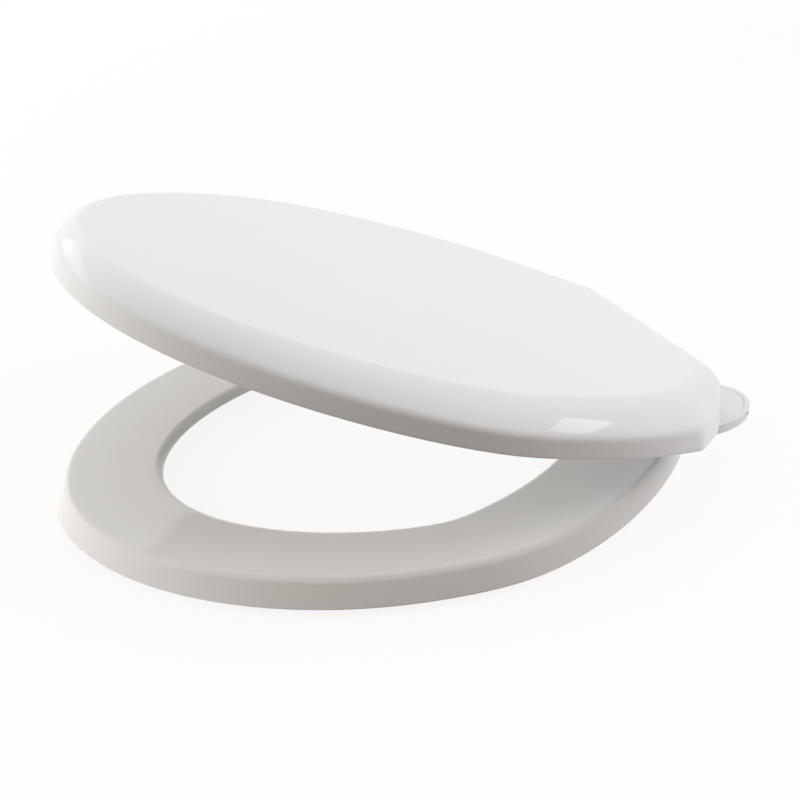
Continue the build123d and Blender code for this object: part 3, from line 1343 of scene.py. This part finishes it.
def heading(azimuth: float, elevation: float) -> Vector:
    """Direction from the seat towards a place round it.

    Args:
        azimuth: Degrees from the nose towards the right.
        elevation: Degrees above level.

    Returns:
        A vector of length 1.
    """
    turn, rise = math.radians(azimuth), math.radians(elevation)
    level = math.cos(rise)
    return Vector((math.sin(turn) * level, -math.cos(turn) * level, math.sin(rise)))


@dataclass(frozen=True)
class Softbox:
    """A soft rectangular lamp, placed by its bearing from the nose and pointed at the seat."""

    name: str
    azimuth: float
    elevation: float
    width: float
    height: float
    watts: float
    colour: Colour = (1.0, 1.0, 1.0)
    mirrored: bool = False
    distance: float = 2.2
    target: tuple[float, float, float] = (0.0, -0.25, 0.05)

    def light(self) -> None:
        """Hang the lamp in the scene, shown in gloss only where it is mirrored."""
        data = bpy.data.lights.new(self.name, "AREA")
        data.shape = "RECTANGLE"
        data.size, data.size_y = self.width, self.height
        data.energy = self.watts
        data.color = self.colour
        lamp = bpy.data.objects.new(self.name, data)
        bpy.context.scene.collection.objects.link(lamp)
        lamp.visible_glossy = self.mirrored
        back = heading(self.azimuth, self.elevation)
        lamp.location = Vector(self.target) + back * self.distance
        lamp.rotation_euler = (-back).to_track_quat("-Z", "Y").to_euler()


SOFTBOXES = (
    Softbox("left_fill", azimuth=270.0, elevation=12.0, width=1.6, height=1.0, watts=13.0),
    Softbox("front_left_fill", azimuth=332.0, elevation=15.0, width=2.0, height=1.0, watts=23.0),
    Softbox(
        "front_fill",
        azimuth=0.0,
        elevation=38.0,
        width=1.6,
        height=1.2,
        watts=8.5,
        colour=(1.0, 0.84, 0.68),
    ),
    Softbox(
        "rear_fill",
        azimuth=150.0,
        elevation=40.0,
        width=1.6,
        height=1.2,
        watts=24.0,
        colour=(1.0, 0.98, 1.0),
    ),
    Softbox(
        "top_fill",
        azimuth=292.0,
        elevation=80.0,
        width=2.0,
        height=2.0,
        watts=17.0,
        colour=(0.96, 0.98, 1.0),
    ),
    Softbox("left_window", 306.0, 20.0, width=1.4, height=0.7, watts=1.6, mirrored=True),
    Softbox("rear_window", 171.0, 24.0, width=0.7, height=0.3, watts=0.9, mirrored=True),
)


@dataclass
class Studio:
    """Floor, world, lamps and camera, in metres."""

    eye: tuple[float, float, float] = (0.6683, -0.5585, 0.4566)
    azimuth: float = 63.96
    elevation: float = 29.43
    lens: float = 57.34
    sensor: float = 36.0
    nearest: float = 0.01
    floor_size: float = 12.0
    floor_glow: float = 0.88
    shadow_reach: float = 0.7
    white_reach: float = 2.0
    floor_bounce: Colour = (0.86, 0.84, 0.81)
    near_bounce: Colour = (0.29, 0.2, 0.14)
    near_start: float = 0.1
    near_end: float = 0.22
    room_level: float = 0.1
    room_tint: Colour = (1.0, 0.99, 0.97)
    softboxes: tuple[Softbox, ...] = SOFTBOXES

    def build(self) -> None:
        """Set up everything round the seat."""
        bpy.context.scene.view_settings.view_transform = "Standard"
        self.floor()
        self.world()
        for softbox in self.softboxes:
            softbox.light()
        self.camera()

    def camera(self) -> None:
        """Place the camera at the photograph's angle."""
        data = bpy.data.cameras.new("camera")
        data.lens = self.lens
        data.sensor_width = self.sensor
        data.clip_start = self.nearest
        camera = bpy.data.objects.new("camera", data)
        bpy.context.scene.collection.objects.link(camera)
        camera.location = self.eye
        away = -heading(self.azimuth, self.elevation)
        camera.rotation_euler = away.to_track_quat("-Z", "Y").to_euler()
        bpy.context.scene.camera = camera

    @staticmethod
    def seen_directly(tree: bpy.types.NodeTree) -> bpy.types.NodeSocket:
        """Tell rays that see a surface from rays that only carry its light.

        Args:
            tree: Tree of the surface or the world.

        Returns:
            A factor that is 1 for camera, glossy and transmission rays.
        """
        rays = add_node(tree, "LightPath").outputs
        first = math_node(tree, "MAXIMUM")
        second = math_node(tree, "MAXIMUM")
        wire(
            tree,
            (rays["Is Camera Ray"], first.inputs[0]),
            (rays["Is Glossy Ray"], first.inputs[1]),
            (first.outputs["Value"], second.inputs[0]),
            (rays["Is Transmission Ray"], second.inputs[1]),
        )
        return second.outputs["Value"]

    def floor(self) -> None:
        """Lay a floor that looks white, keeps a soft shadow and bounces less on the near side."""
        bpy.ops.object.select_all(action="DESELECT")
        bpy.ops.mesh.primitive_plane_add(size=self.floor_size)
        floor = named("floor")
        material = bpy.data.materials.new("pale_floor")
        material.use_nodes = True
        tree = material.node_tree
        tree.nodes.clear()
        place = add_node(tree, "TexCoord").outputs["Object"]
        split = add_node(tree, "SeparateXYZ")
        near = add_node(tree, "MapRange", {"From Min": self.near_start, "From Max": self.near_end})
        near.interpolation_type = "SMOOTHSTEP"
        bounce = colour_mix(tree)
        set_inputs(bounce, {"A": (*self.floor_bounce, 1.0), "B": (*self.near_bounce, 1.0)})
        tint = colour_mix(tree)
        set_inputs(tint, {"B": WHITE})
        matte = add_node(tree, "BsdfDiffuse")
        glow = add_node(tree, "Emission", {"Color": WHITE, "Strength": 1.0})
        away = add_node(tree, "VectorMath")
        away.operation = "LENGTH"
        reach = {"From Min": self.shadow_reach, "From Max": self.white_reach}
        fade = add_node(tree, "MapRange", {**reach, "To Min": self.floor_glow})
        share = math_node(tree, "MULTIPLY")
        mix = add_node(tree, "MixShader")
        out = add_node(tree, "OutputMaterial")
        seen = self.seen_directly(tree)
        wire(
            tree,
            (place, split.inputs["Vector"]),
            (split.outputs["X"], near.inputs["Value"]),
            (near.outputs["Result"], bounce.inputs["Factor"]),
            (bounce.outputs["Result"], tint.inputs["A"]),
            (seen, tint.inputs["Factor"]),
            (tint.outputs["Result"], matte.inputs["Color"]),
            (place, away.inputs[0]),
            (away.outputs["Value"], fade.inputs["Value"]),
            (seen, share.inputs[0]),
            (fade.outputs["Result"], share.inputs[1]),
            (share.outputs["Value"], mix.inputs["Fac"]),
            (matte.outputs["BSDF"], mix.inputs[1]),
            (glow.outputs["Emission"], mix.inputs[2]),
            (mix.outputs["Shader"], out.inputs["Surface"]),
        )
        floor.data.materials.append(material)

    def world(self) -> None:
        """Light the room softly from all round and show a white backdrop."""
        world = bpy.data.worlds.new("studio")
        bpy.context.scene.world = world
        world.use_nodes = True
        tree = world.node_tree
        tree.nodes.clear()
        room = add_node(
            tree, "Background", {"Color": (*self.room_tint, 1.0), "Strength": self.room_level}
        )
        white = add_node(tree, "Background", {"Color": WHITE})
        mix = add_node(tree, "MixShader")
        out = add_node(tree, "OutputWorld")
        wire(
            tree,
            (self.seen_directly(tree), mix.inputs["Fac"]),
            (room.outputs["Background"], mix.inputs[1]),
            (white.outputs["Background"], mix.inputs[2]),
            (mix.outputs["Shader"], out.inputs["Surface"]),
        )


def main() -> None:
    """Build the seat piece by piece and set the studio round it."""
    logging.basicConfig(level=logging.INFO, format="%(name)s: %(message)s")
    effects = Effects()
    lid = Lid().dress(effects)
    LOG.info("%s has %d faces", lid.name, len(lid.data.polygons))
    ring = SeatRing().dress(effects)
    LOG.info("%s has %d faces", ring.name, len(ring.data.polygons))
    for name in Fittings().dress(effects, frame["nodes"]):
        LOG.info("%s keeps its solid's shape", name)
    Studio().build()


if __name__ == "__main__":
    main()
